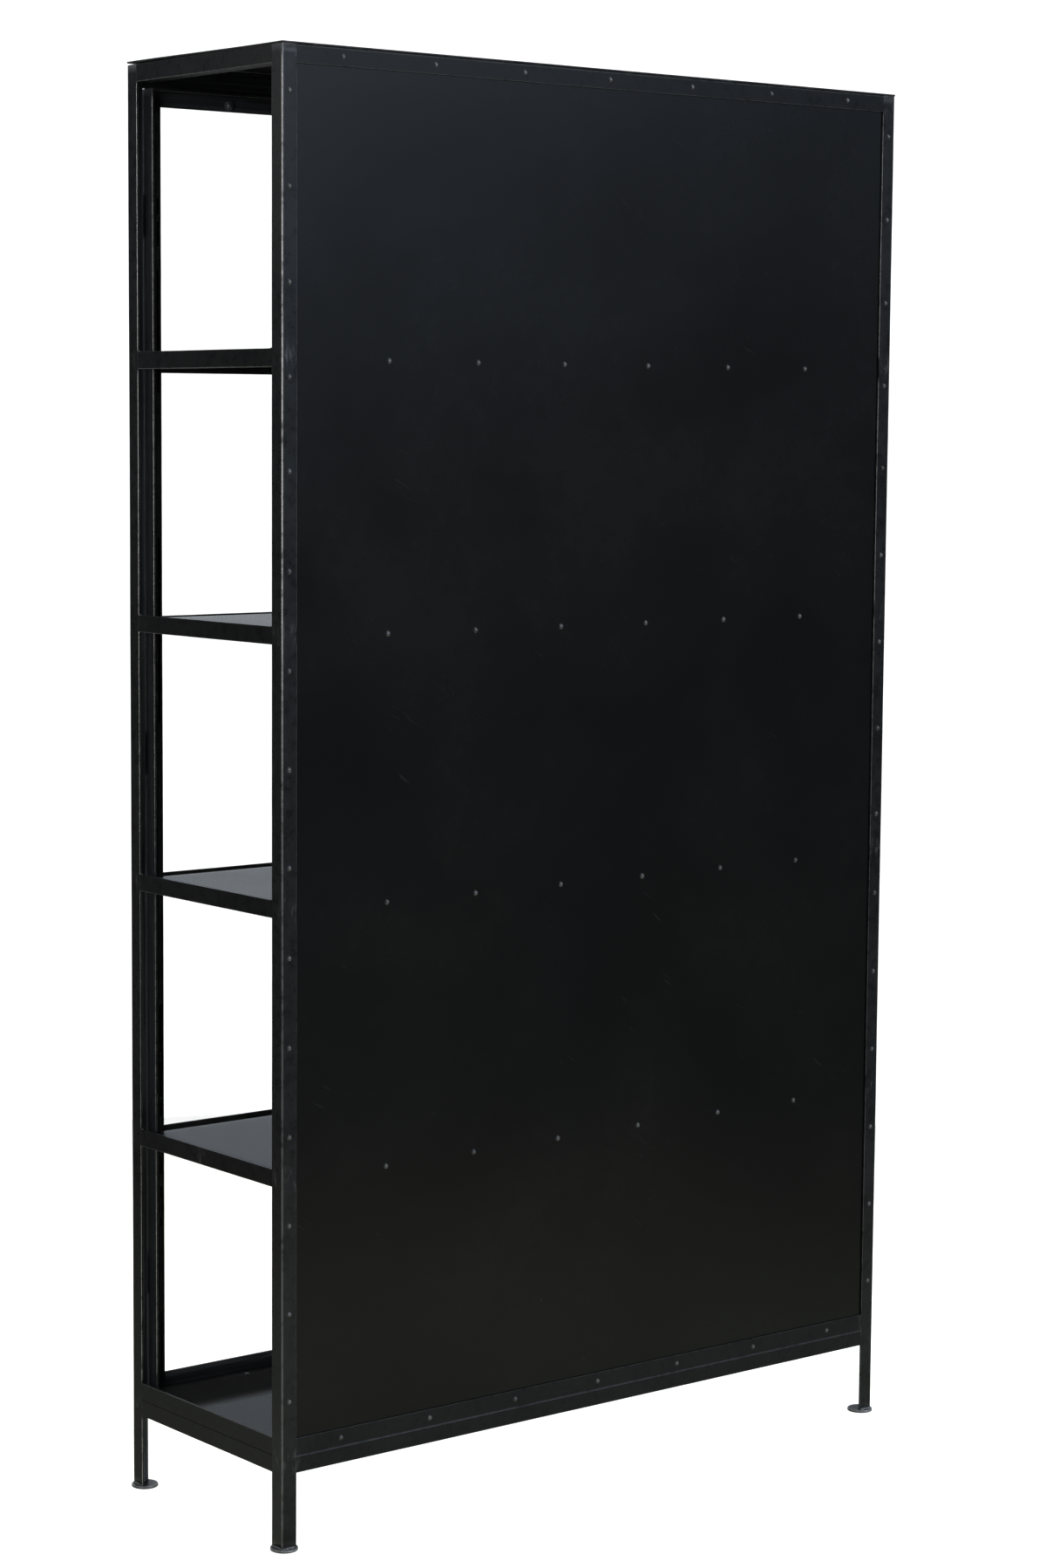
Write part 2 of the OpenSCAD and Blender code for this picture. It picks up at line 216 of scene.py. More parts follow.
def painted_sheet(name, dark, light, spec, rough, blotch_scale, scratches, reflection_by_height=False):
    """Sheet metal under thinly spread black lacquer: soft clouds, specks, hairline scratches.

    When told to, the lacquer also turns from bluish at the top to olive below, a
    painted reflection of the cool light above and the warm floor below."""
    made, tree, shader, coords = new_material(name)
    broad = cloud(tree, coords, blotch_scale, 2.5, 0.5, 0.4)
    fine = cloud(tree, coords, 42.0, 5.0, 0.65)
    grain = cloud(tree, coords, 1100.0, 2.0, 0.5)
    hue = cloud(tree, coords, 2.3, 2.0, 0.5)
    if reflection_by_height:
        # Painted reflection: bluish up high, olive towards the floor.
        up = along_axis(tree, coords, 2)
        hue = plus(tree, times(tree, hue, 0.4),
                   rise(tree, up, 1.9, 0.6, 0.22, 0.4, smooth=False))
    tone = plus(tree, times(tree, broad, 0.75), times(tree, fine, 0.25))
    tone = rise(tree, tone, 0.34, 0.66)
    cool = blend_colour(tree, tone, grey(dark, (0.93, 1.0, 1.07)), grey(light, (0.9, 1.0, 1.06)))
    warm = blend_colour(tree, tone, grey(dark, (1.0, 1.0, 0.9)), grey(light, (1.03, 1.04, 0.86)))
    paint = blend_colour(tree, rise(tree, hue, 0.40, 0.60), cool, warm)
    marks = 0.0
    for turn, stretch in ((0.5, (22.0, 22.0, 420.0)), (-0.9, (380.0, 22.0, 18.0))):
        turned = turned_by(tree, coords, Rotation=(0.0, turn, 0.0))
        line = rise(tree, cloud(tree, turned, 1.0, 1.0, 0.4, 0.0, stretch), 0.74, 0.79, 0.0, 0.4)
        marks = plus(tree, line, marks)
    sparse = rise(tree, cloud(tree, coords, 6.0, 2.0, 0.5, 1.5), 0.60, 0.68)
    marks = times(tree, marks, sparse)
    cell = put(tree, "ShaderNodeTexVoronoi", {"Vector": coords, "Scale": 55.0})
    dot = rise(tree, cell.outputs["Distance"], 0.045, 0.02)
    rare = rise(tree, cloud(tree, coords, 23.0, 1.0, 0.5), 0.60, 0.66)
    specks = times(tree, dot, rare)
    marks = times(tree, plus(tree, marks, specks, clamp=True), scratches)
    wear = attribute(tree, "wear")
    rubbed = times(tree, wear, rise(tree, fine, 0.45, 0.7))
    bare = calc(tree, "MAXIMUM", marks, rubbed)
    colour = blend_colour(tree, bare, paint, grey(0.16, BARE_TINT))
    dull = rise(tree, tone, 0.0, 1.0, rough - 0.02, rough + 0.03, smooth=False)
    scoured = attribute(tree, "scoured")
    dull = plus(tree, dull, times(tree, scoured, 0.45))
    height = plus(
        tree, times(tree, fine, 0.6), times(tree, grain, 0.08)
    )
    feed(
        tree,
        shader,
        Base_Color=colour,
        Metallic=times(tree, bare, 0.5),
        Roughness=dull,
        Specular_IOR_Level=rise(tree, scoured, 0.0, 1.0, spec, spec * 0.1, smooth=False),
        Normal=bump(tree, height, 0.00022, 0.45),
    )
    return made


def clear_glass():
    made, tree, shader, _ = new_material("clear_glass")
    feed(
        tree,
        shader,
        Base_Color=(0.985, 0.995, 0.99, 1.0),
        Roughness=0.0,
        IOR=1.45,
        Specular_IOR_Level=0.25,
        Transmission_Weight=1.0,
    )
    return made


# The copies below are one lacquer in painted shade and painted light: darker on the rails and front
# posts, lighter on the doors, with brighter bare edges on the front posts.
IRON = lacquered_iron("lacquered_iron", 0.0026, 0.0075, 0.078, 0.30, low_wear_and_sheen=0.3)
RAIL_IRON_SHADED = lacquered_iron("lacquered_rail_iron_shaded", 0.0026, 0.0046, 0.062, 0.30, low_wear_and_sheen=0.5,
                           streaking=ALONG_RAILS)
FRONT_IRON_SHADED = lacquered_iron("lacquered_front_iron_shaded", 0.0020, 0.0058, 0.060, 0.30, steel=0.42,
                            low_wear_and_sheen=0.3)
DOOR_IRON_LIT = lacquered_iron("lacquered_door_iron_lit", 0.006, 0.014, 0.08, 0.33, steel=0.36)
DOOR_RAIL_IRON_LIT = lacquered_iron("lacquered_door_rail_iron_lit", 0.005, 0.012, 0.08, 0.33,
                                streaking=ALONG_RAILS)
RIVET = lacquered_iron("lacquered_rivets", 0.005, 0.010, 0.22, 0.25, 0.12, 0.7)
HARDWARE = lacquered_iron("blackened_hardware", 0.006, 0.014, 0.35, 0.3, 0.24, 0.8)
# The clips are a far lighter, glossier copy of the hardware's lacquer: a painted highlight on their
# domes.
CLIP_HIGHLIT = lacquered_iron("glass_clips_highlit", 0.05, 0.11, 0.5, 0.25, 0.3, 0.8)
FOOT = lacquered_iron("lacquered_feet", 0.006, 0.014, 0.15, 0.36, 0.24)
WELD = lacquered_iron("lacquered_welds", 0.005, 0.014, 0.14, 0.33, 0.2, 0.6)
BACK = painted_sheet("lacquered_back_sheet", 0.0012, 0.0024, 0.072, 0.26, 2.2, 0.09, reflection_by_height=True)
TRAY = painted_sheet("lacquered_tray_sheet", 0.0022, 0.0045, 0.077, 0.22, 4.0, 0.12)
TOP = painted_sheet("lacquered_top_sheet", 0.003, 0.006, 0.09, 0.30, 3.2, 0.3)
GLASS = clear_glass()


# ------------------------------------------------------------- mesh helpers
def waver(p):
    """How far the rolled and hand-welded iron strays from true at a point."""
    slow = noise.noise_vector(p * 5.0) * 0.00022
    return slow + noise.noise_vector(p * 38.0 + Vector((7, 3, 1))) * 0.00009


def arc(cu, cv, radius, start, end, steps):
    """Points of an arc, in degrees."""
    turn = [math.radians(start + (end - start) * i / steps) for i in range(steps + 1)]
    return [(cu + radius * math.cos(a), cv + radius * math.sin(a)) for a in turn]


def finish_section(loops, painted_light):
    """Joins rounded corners, each (points, wear), into one closed section: rows
    of (u, v, wear, painted light).

    Between two corners it adds support points, so that flats shade flat. The
    second argument tells, by a corner's number, how much painted light lifts
    the flat after that corner."""
    painted_light = painted_light or {}
    out = []
    for i, (points, worn) in enumerate(loops):
        after = loops[(i + 1) % len(loops)][0]
        last = len(points) - 1
        out += [(u, v, worn * (0.1 + 0.9 * math.sin(math.pi * k / last) ** 2), 0.0)
                for k, (u, v) in enumerate(points)]
        a, b = Vector(points[-1]), Vector(after[0])
        length = (b - a).length
        if length > 0.0012:
            near = [share for share in (0.0003, 0.002) if share < length / 2]
            bare = painted_light.get(i, 0.0)
            out += [(*(a + (b - a) * share / length), 0.0, bare) for share in near]
            out += [(*(b - (b - a) * share / length), 0.0, bare) for share in near[::-1]]
    return out


def angle_section(wide, deep, t=IRON_T, corner=1.0, toe=0.5, r=CORNER_R, painted_light=None):
    """An angle iron's section: outer corner at 0,0, flanges along u and v.

    q is the radius of the toes' edges, and f of the fillet inside the angle."""
    q, f = TOE_R, 0.0004
    return finish_section([
        (arc(r, r, r, 180, 270, 6), corner),
        (arc(wide - q, q, q, 270, 360, 4), toe),
        (arc(wide - q, t - q, q, 0, 90, 4), toe),
        (arc(t + f, t + f, f, 270, 180, 2), 0.0),
        (arc(t - q, deep - q, q, 0, 90, 4), toe),
        (arc(q, deep - q, q, 90, 180, 4), toe),
    ], painted_light)


def bar_section(wide, thick, worn=0.5, upper=None, painted_light=None):
    """A flat bar's section. upper is the wear of the two far edges."""
    q = TOE_R
    upper = worn if upper is None else upper
    return finish_section([
        (arc(q, q, q, 180, 270, 4), worn),
        (arc(wide - q, q, q, 270, 360, 4), worn),
        (arc(wide - q, thick - q, q, 0, 90, 4), upper),
        (arc(q, thick - q, q, 90, 180, 4), upper),
    ], painted_light)


def mesh_piece(name, points, faces, material, attributes=None, smooth=True):
    mesh = bpy.data.meshes.new(name)
    mesh.from_pydata([tuple(p) for p in points], [], faces)
    mesh.validate()
    for key, values in (attributes or {}).items():
        mesh.attributes.new(key, "FLOAT", "POINT").data.foreach_set("value", values)
    mesh.polygons.foreach_set("use_smooth", [smooth] * len(mesh.polygons))
    mesh.materials.append(material)
    made = bpy.data.objects.new(name, mesh)
    bpy.context.scene.collection.objects.link(made)
    return made


def extrude(section, origin, u, v, w, length, step, caps, smears=(), joined=()):
    """Sweeps a section along w. caps tells, for each end, whether its edge is
    eased (True) or left square where it runs into its neighbour (False). smears
    are ground welds, each (place, half width, strength). joined holds the
    stretches where rails are welded to the toes, which aren't worn."""
    first, last = EASE, length - EASE
    count = max(2, round((last - first) / step))
    stations = [(first + (last - first) * i / count, False) for i in range(count + 1)]
    stations = [(0.0, caps[0])] + stations + [(length, caps[1])]
    n = len(section)
    handed = u.cross(v).dot(w) > 0
    points, faces, wear, smear, painted_light = [], [], [], [], []
    for s, eased in stations:
        least = 0.15 if any(caps) and min(s, length - s) < 0.003 else 0.0
        welded = any(start <= s <= end for start, end in joined)
        for i, (a, b, worn, bare) in enumerate(section):
            if welded and max(a, b) > 2 * CORNER_R:
                worn = 0.0
            if eased:
                p, q = section[i - 1], section[(i + 1) % n]
                along = Vector((q[0] - p[0], q[1] - p[1])).normalized()
                a, b = a - along.y * EASE, b + along.x * EASE
            point = origin + u * a + v * b + w * s
            points.append(point + waver(point))
            painted_light.append(bare)
            wear.append(0.6 if eased else max(worn, least))
            smear.append(max([0.0] + [k * math.exp(-(((s - c) / h) ** 2)) for c, h, k in smears]))
    for j in range(len(stations) - 1):
        for i in range(n):
            k = (i + 1) % n
            quad = (j * n + i, j * n + k, (j + 1) * n + k, (j + 1) * n + i)
            faces.append(quad if handed else quad[::-1])
    low = list(range(n))
    high = [(len(stations) - 1) * n + i for i in range(n)]
    faces.append(low[::-1] if handed else low)
    faces.append(high if handed else high[::-1])
    return points, faces, {"wear": wear, "smear": smear, "painted_light": painted_light}


def corner_of(node, signs):
    """A corner of a CAD node's box: -1, 0 or 1 along each axis."""
    low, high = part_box(node)
    return Vector([
        low[i] if signs[i] < 0 else high[i] if signs[i] > 0 else (low[i] + high[i]) / 2
        for i in range(3)
    ])


def member(node, body, section, corner, u, v, w, caps=(False, False),
           material=IRON, smears=(), joined=(), step=0.012):
    """Stands for a straight CAD member whose section starts at one box corner."""
    low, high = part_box(node)
    length = abs((high - low).dot(w))
    start, run = 0.0, length
    if not caps[0]:
        start, run = -OVERLAP, run + OVERLAP
    if not caps[1]:
        run += OVERLAP
    origin = corner_of(node, corner) + w * start
    points, faces, extra = extrude(section, origin, u, v, w, run, step, caps, smears, joined)
    made = mesh_piece(node + "_iron", points, faces, material, extra)
    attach(made, body)
    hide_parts(node)
    return made


# ------------------------------------------------------------------ the frame
for side, name in SIDES:
    across = X * -side
    for back, where in ((-1, "front"), (1, "rear")):
        node = f"post_{where}_{name}"
        low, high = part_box(node)
        ground = 0.15 if back < 0 else 0.35
        joints = [(z - low.z, 0.011, ground) for z in WELD_HEIGHTS]
        section = angle_section(high.x - low.x, high.y - low.y, toe=4.0 if back < 0 else 1.2,
                                painted_light={2: 1.0, 3: 1.0})
        welded = [f"{part}_{name}" for part in ("base_rail", "sill", "top_rail")]
        welded += [f"shelf_rail_{name}_{n}" for n in SHELVES]
        rails = [(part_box(part)[0].z - low.z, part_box(part)[1].z - low.z) for part in welded]
        member(node, "cabinet", section, (side, back, -1), across, Y * -back, Z,
               caps=(True, True), smears=joints, joined=rails,
               material=FRONT_IRON_SHADED if back < 0 else IRON)
    ends = [(0.0, 0.008, 0.05), (0.338, 0.008, 0.05)]
    rail = angle_section(RAIL_W, RAIL_W, corner=0.5, toe=0.1, r=0.0010, painted_light={2: 0.4, 3: 0.1})
    member(f"top_rail_{name}", "cabinet", rail,
           (side, -1, -1), across, Z, Y, smears=ends, material=RAIL_IRON_SHADED)
    member(f"base_rail_{name}", "cabinet", angle_section(RAIL_W, RAIL_W, corner=0.0, r=0.0012),
           (side, -1, 1), across, -Z, Y, smears=ends, material=RAIL_IRON_SHADED)
    for n in SHELVES:
        seam = [(0.163, 0.006, 0.9)] if (side, n) == (1, 1) else []
        member(f"shelf_rail_{name}_{n}", "cabinet", rail,
               (side, -1, -1), across, Z, Y, smears=ends + seam, material=RAIL_IRON_SHADED)
    low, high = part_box(f"sill_{name}")
    member(f"sill_{name}", "cabinet", bar_section(high.x - low.x, high.z - low.z, 0.0, upper=0.9),
           (side, -1, -1), across, Z, Y, smears=ends, material=RAIL_IRON_SHADED)
for back, name in ((-1, "front"), (1, "rear")):
    ends = [(0.0, 0.01, 0.12), (1.115, 0.01, 0.12)]
    for kind in ("top", "base"):
        low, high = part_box(f"{kind}_rail_{name}")
        worn = 0.15 if kind == "top" else 0.25
        # The front top rail reaches to half a millimetre above the doors.
        reach = 0.0014 if (kind, name) == ("top", "front") else 0.0
        section = angle_section(high.y - low.y, high.z - low.z + reach, corner=worn,
                                painted_light={2: 0.4, 3: 0.4})
        member(f"{kind}_rail_{name}", "cabinet", section,
               (-1, back, 1), Y * -back, -Z, X, smears=ends, material=RAIL_IRON_SHADED)
low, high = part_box("sill_rear")
member("sill_rear", "cabinet", bar_section(high.y - low.y, high.z - low.z, 0.3),
       (-1, 1, -1), -Y, Z, X, smears=ends, material=RAIL_IRON_SHADED)


# ------------------------------------------------------------------- sheets
def smoothstep(value, low, high):
    t = min(1.0, max(0.0, (value - low) / (high - low)))
    return t * t * (3 - 2 * t)


def spread(low, high, step):
    """Evenly spaced values from low to high, about step apart."""
    count = max(2, round((high - low) / step))
    return [low + (high - low) * i / count for i in range(count + 1)]


def plate(name, us, vs, place, thick, material, worn=0.7):
    """A sheet with eased edges over a grid of us by vs. place(u, v, depth) gives
    a point, where depth is 0 on its outer face and thick on its inner face."""
    ease = min(0.0005, thick / 3)
    us = [us[0], us[0] + ease] + us[1:-1] + [us[-1] - ease, us[-1]]
    vs = [vs[0], vs[0] + ease] + vs[1:-1] + [vs[-1] - ease, vs[-1]]
    nu, nv = len(us), len(vs)
    points, faces, wear = [], [], []
    for depth in (0.0, thick):
        for j, v in enumerate(vs):
            for i, u in enumerate(us):
                rim = i in (0, nu - 1) or j in (0, nv - 1)
                near = i in (1, nu - 2) or j in (1, nv - 2)
                eased = (ease if depth == 0 else -ease) if rim else 0.0
                points.append(place(u, v, depth + eased))
                wear.append(worn if rim else worn * 0.6 if near else 0.0)
    layer = nu * nv
    for j in range(nv - 1):
        for i in range(nu - 1):
            a = j * nu + i
            faces.append((a, a + 1, a + nu + 1, a + nu))
            faces.append((layer + a, layer + a + nu, layer + a + nu + 1, layer + a + 1))
    loop = (
        [i for i in range(nu)]
        + [j * nu + nu - 1 for j in range(1, nv)]
        + [(nv - 1) * nu + i for i in range(nu - 2, -1, -1)]
        + [j * nu for j in range(nv - 2, 0, -1)]
    )
    for i, a in enumerate(loop):
        b = loop[(i + 1) % len(loop)]
        faces.append((b, a, layer + a, layer + b))
    return mesh_piece(name, points, faces, material, {"wear": wear})


def flip_if_inside_out(obj):
    """Turns a closed mesh's faces outward."""
    mesh = obj.data
    mesh.calc_loop_triangles()
    volume = sum(
        mesh.vertices[a].co.dot(mesh.vertices[b].co.cross(mesh.vertices[c].co))
        for a, b, c in (t.vertices for t in mesh.loop_triangles)
    )
    if volume < 0:
        mesh.flip_normals()


low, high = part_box("back_panel")
held_at = [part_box(f"shelf_rail_left_{n}")[1].z - 0.015 for n in SHELVES]


def on_back(u, v, depth):
    """The back sheet is held flat by the frame and along the shelves, and
    drifts up to a millimetre inward between them."""
    free = smoothstep(min(u - low.x, high.x - u), 0.03, 0.2)
    free *= smoothstep(min(v - low.z, high.z - v), 0.03, 0.2)
    free *= 0.35 + 0.65 * smoothstep(min(abs(v - z) for z in held_at), 0.01, 0.13)
    drift = 0.5 + 0.5 * noise.noise(Vector((u * 2.4, 1.7, v * 2.1)))
    drift = 0.0011 * drift + 0.00018 * noise.noise(Vector((u * 11.0, 4.2, v * 9.0)))
    return Vector((u, high.y - depth - free * max(0.0, drift), v))


back = plate("back_sheet", spread(low.x, high.x, 0.011), spread(low.z, high.z, 0.011),
             on_back, high.y - low.y, BACK, 0.0)
flip_if_inside_out(back)
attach(back, "cabinet")
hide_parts("back_panel")

top_low, top_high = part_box("top_panel")


def on_top(u, v, depth):
    """The top sheet lifts off the rail at its right front corner."""
    lift = 0.0022 * smoothstep(u, 0.1, top_high.x) * smoothstep(-v, -0.16, -top_low.y)
    sag = 0.0004 * noise.noise(Vector((u * 3.0, v * 3.0, 0.3)))
    return Vector((u, v, top_high.z - depth + lift + max(0.0, sag)))


top = plate("top_sheet", spread(top_low.x, top_high.x, 0.02), spread(top_low.y, top_high.y, 0.02),
            on_top, top_high.z - top_low.z, TOP, 0.12)
flip_if_inside_out(top)
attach(top, "cabinet")
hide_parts("top_panel")


def tray(node, sag, fold=0.003, thick=0.0015):
    """A folded tray: a top with rounded folds on all sides, and four lips."""
    low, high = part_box(node)
    turn = [math.radians(a) for a in (0, 15, 30, 45, 60, 75, 90)]
    # Each ring is (distance in from the lip, distance down from the top).
    rings = [(0.0, high.z - low.z)] + [
        (fold * (1 - math.sin(a)), fold * (1 - math.cos(a))) for a in turn[::-1]
    ]
    # The same rings, moved in by the sheet's thickness, make the inner face.
    r = fold - thick
    inner = [(thick, high.z - low.z)] + [
        (thick + r * (1 - math.sin(a)), thick + r * (1 - math.cos(a))) for a in turn[::-1]
    ]
    us = [low.x + fold] + spread(low.x + 0.02, high.x - 0.02, 0.03) + [high.x - fold]
    vs = [low.y + fold] + spread(low.y + 0.02, high.y - 0.02, 0.012) + [high.y - fold]
    points, faces, wear = [], [], []
    # The front of the bottom tray is dull; the rest of it and the shelves shine.
    dull_to = DULL_TO if node == "bottom_tray" else low.y - 1.0

    def drop(x, y):
        a = math.sin(math.pi * min(1, max(0, (x - low.x) / (high.x - low.x))))
        b = math.sin(math.pi * min(1, max(0, (y - low.y) / (high.y - low.y))))
        return sag * a * b * (0.8 + 0.4 * noise.noise(Vector((x * 4, y * 4, low.z))))

    def layer(rings, depth, outward):
        """Adds one face of the sheet, and returns its lower edge's points."""
        start = len(points)
        nu, nv = len(us), len(vs)
        for y in vs:
            for x in us:
                points.append(Vector((x, y, high.z - depth - drop(x, y))))
                wear.append(0.0)
        for j in range(nv - 1):
            for i in range(nu - 1):
                a = start + j * nu + i
                quad = (a, a + 1, a + nu + 1, a + nu)
                faces.append(quad if outward else quad[::-1])
        edge = (
            [(i, 0) for i in range(nu)]
            + [(nu - 1, j) for j in range(1, nv)]
            + [(i, nv - 1) for i in range(nu - 2, -1, -1)]
            + [(0, j) for j in range(nv - 2, 0, -1)]
        )
        before = [start + j * nu + i for i, j in edge]
        # The flat's rim is the fold's first ring, so skip that ring.
        for k, (inset, down) in enumerate(rings[:0:-1][1:] + rings[:1]):
            ring = []
            for i, j in edge:
                x, y = us[i], vs[j]
                if i == 0:
                    x = low.x + inset
                if i == nu - 1:
                    x = high.x - inset
                if j == 0:
                    y = low.y + inset
                if j == nv - 1:
                    y = high.y - inset
                ring.append(len(points))
                points.append(Vector((x, y, high.z - down)))
                wear.append(0.3 if 0 < k < 6 else 0.05)
            for a, b, c, d in zip(before, before[1:] + before[:1], ring[1:] + ring[:1], ring):
                quad = (b, a, d, c)
                faces.append(quad if outward else quad[::-1])
            before = ring
        return before

    outer_rim = layer(rings, 0.0, True)
    inner_rim = layer(inner, thick, False)
    for a, b, c, d in zip(outer_rim, outer_rim[1:] + outer_rim[:1],
                          inner_rim[1:] + inner_rim[:1], inner_rim):
        faces.append((b, a, d, c))
    scoured = [1.0 - smoothstep(p.y, dull_to - 0.02, dull_to + 0.02) for p in points]
    made = mesh_piece(node + "_sheet", points, faces, TRAY, {"wear": wear, "scoured": scoured})
    flip_if_inside_out(made)
    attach(made, "cabinet")
    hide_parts(node)


for n in SHELVES:
    tray(f"shelf_{n}", 0.0009)
tray("bottom_tray", 0.0006)


# ------------------------------------------------------------------- rivets
def islands(node):
    """The box of each separate solid in a CAD node, sorted by place."""
    mesh = nodes[node].data
    parent = {}

    def find(key):
        while parent[key] != key:
            parent[key] = parent[parent[key]]
            key = parent[key]
        return key

    keys = [tuple(round(c * 2e5) for c in v.co) for v in mesh.vertices]
    for key in keys:
        parent.setdefault(key, key)
    for face in mesh.polygons:
        first = find(keys[face.vertices[0]])
        for index in face.vertices[1:]:
            parent[find(keys[index])] = first
    boxes = {}
    for key, vertex in zip(keys, mesh.vertices):
        found = boxes.setdefault(find(key), [vertex.co.copy(), vertex.co.copy()])
        found[0] = Vector(map(min, found[0], vertex.co))
        found[1] = Vector(map(max, found[1], vertex.co))
    return sorted(boxes.values(), key=lambda b: (round(b[0].z, 3), round(b[0].x, 3)))


def lathe(profile, centre, axis, side, turns=28, lumpy=0.0, seed=0.0):
    """Turns a profile of (radius, height, wear) round an axis into a part for
    gather. lumpy is how far it strays from round, as a share of the radius."""
    other = axis.cross(side)
    points, faces, wear = [], [], []
    for radius, height, worn in profile:
        for k in range(turns):
            a = 2 * math.pi * k / turns
            out = side * math.cos(a) + other * math.sin(a)
            r = radius * (1 + lumpy * noise.noise(out * 1.3 + Vector((seed, height * 300, 0))))
            points.append(centre + out * r + axis * height)
            wear.append(worn)
    for j in range(len(profile) - 1):
        for k in range(turns):
            m = (k + 1) % turns
            faces.append((j * turns + k, j * turns + m, (j + 1) * turns + m, (j + 1) * turns + k))
    faces.append(tuple(range(turns))[::-1])
    faces.append(tuple((len(profile) - 1) * turns + k for k in range(turns)))
    return points, faces, wear


def gather(name, parts, material, replaces=(), body="cabinet"):
    """One piece out of parts, each (points, faces, wear) or with a fourth list
    that tells how much painted light lifts each point."""
    points, faces, wear, painted_light = [], [], [], []
    for p, f, w, *bare in parts:
        base = len(points)
        points += p
        wear += w
        painted_light += bare[0] if bare else [0.0] * len(p)
        faces += [tuple(base + i for i in face) for face in f]
    made = mesh_piece(name, points, faces, material, {"wear": wear, "painted_light": painted_light})
    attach(made, body)
    if replaces:
        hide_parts(*replaces)
    return made


def rivet(found, seed):
    """A domed head with a ring of paint round it, a shank and a set tail."""
    low, high = found
    size = high - low
    upward = abs(size.x - size.y) < abs(size.x - size.z)  # else through the back
    axis, side = (Z, X) if upward else (Y, X)
    depth = size.z if upward else size.y
    centre = (low + high) / 2 - axis * depth / 2
    tail_h, head_h = 0.0012, 0.0022
    rng = random.Random(seed)
    r = 0.0035 * rng.uniform(0.94, 1.06)
    face = depth - head_h
    dome = [(r * math.cos(a), face + head_h * 0.12 + head_h * 0.88 * math.sin(a))
            for a in [math.radians(8 + 78 * i / 7) for i in range(8)]]
    profile = [(0.0028, 0.0, 0), (0.0030, 0.0002, 0), (0.0030, tail_h - 0.0002, 0),
               (0.0020, tail_h, 0), (0.0020, face - 0.0003, 0), (r + 0.0009, face - 0.0003, 0),
               (r + 0.0008, face + 0.00005, 0), (r + 0.00025, face + 0.0002, 0)]
    profile += [(a, h, 0.0 if h < face + 0.001 else 0.4) for a, h in dome]
    off = Vector([rng.uniform(-0.0002, 0.0002) for _ in range(3)])
    off -= axis * off.dot(axis)
    return lathe(profile, centre + off, axis, side, 28, 0.05, seed * 1.7)


for node in ("frame_rivets", "shelf_rivets"):
    found = islands(node)
    gather(node + "_heads", [rivet(b, i + 1) for i, b in enumerate(found)], RIVET,
           (node,))


# -------------------------------------------------------------- feet and welds
def bead(start, end, radius, seed, up=Z):
    """A row of overlapping weld ripples from start to end."""
    run = end - start
    along = run.normalized()
    side = along.cross(up).normalized()
    rng = random.Random(seed)
    steps = max(6, round(run.length / 0.0009))
    profile = []
    for i in range(steps + 1):
        t = i / steps
        tip = min(1.0, 5 * min(t, 1 - t) + 0.15)
        ripple = 1 + 0.16 * math.sin(i * 1.9 + rng.uniform(-0.5, 0.5)) + rng.uniform(-0.1, 0.1)
        profile.append((radius * tip * ripple, t * run.length, 0.5))
    return lathe(profile, start, along, side, 14, 0.35, seed * 0.37)


foot_parts, weld_parts = [], []
for i, (low, high) in enumerate(islands("feet")):
    centre = (low + high) / 2
    centre.z = low.z
    r, t = (high.x - low.x) / 2, high.z - low.z
    rim = [(r - 0.0006, 0.0, 0.2), (r - 0.0001, 0.0004, 0.4), (r, 0.0010, 0.4),
           (r, t - 0.0013, 0.4), (r - 0.0002, t - 0.0006, 0.9), (r - 0.0007, t - 0.0001, 0.9),
           (r - 0.0014, t, 0.5), (r * 0.8, t + 0.0001, 0.1), (r * 0.5, t, 0.0)]
    foot_parts.append(lathe(rim, centre, Z, X, 64, 0.006, i))
    sx, sy = (1 if centre.x > 0 else -1), (1 if centre.y > 0 else -1)
    corner = Vector((centre.x + sx * 0.0125, centre.y + sy * 0.0125, t + 0.0006))
    tip_x, tip_y = corner - X * sx * 0.024, corner - Y * sy * 0.024
    weld_parts += [bead(corner, tip_x, 0.0021, 11 + i), bead(corner, tip_y, 0.0021, 21 + i)]
    inner = corner - X * sx * 0.0035 - Y * sy * 0.0035
    weld_parts.append(bead(inner, inner - X * sx * 0.019, 0.0019, 31 + i))
gather("foot_discs", foot_parts, FOOT, ("feet",))

for side, name in SIDES:
    for n in SHELVES:
        low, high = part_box(f"shelf_rail_{name}_{n}")
        outer = high.x if side > 0 else low.x
        x = outer - side * (IRON_T + 0.0002)
        for j, (y, sign) in enumerate(((low.y, 1), (high.y, -1))):
            # Inside the post, up the rail's upright flange, and over its top.
            top_z, seed = high.z, 40 + n * 8 + j * 3 + side
            weld_parts.append(bead(Vector((x, y, top_z - 0.021)), Vector((x, y, top_z - 0.001)),
                                   0.0013, seed, Y))
            tip = Vector((outer - side * 0.0015, y - sign * 0.0008, top_z - 0.0001))
            weld_parts.append(bead(tip, tip + Y * sign * 0.006, 0.0011, seed + 1))
    # The front top rail's lower corner is welded to the post's flange.
    low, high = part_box("top_rail_front")
    end = high.x if side > 0 else low.x
    tip = Vector((end + side * 0.004, low.y + IRON_T + 0.0006, low.z + 0.0003))
    weld_parts.append(bead(tip, tip - X * side * 0.010, 0.0017, 70 + side))
gather("weld_beads", weld_parts, WELD)


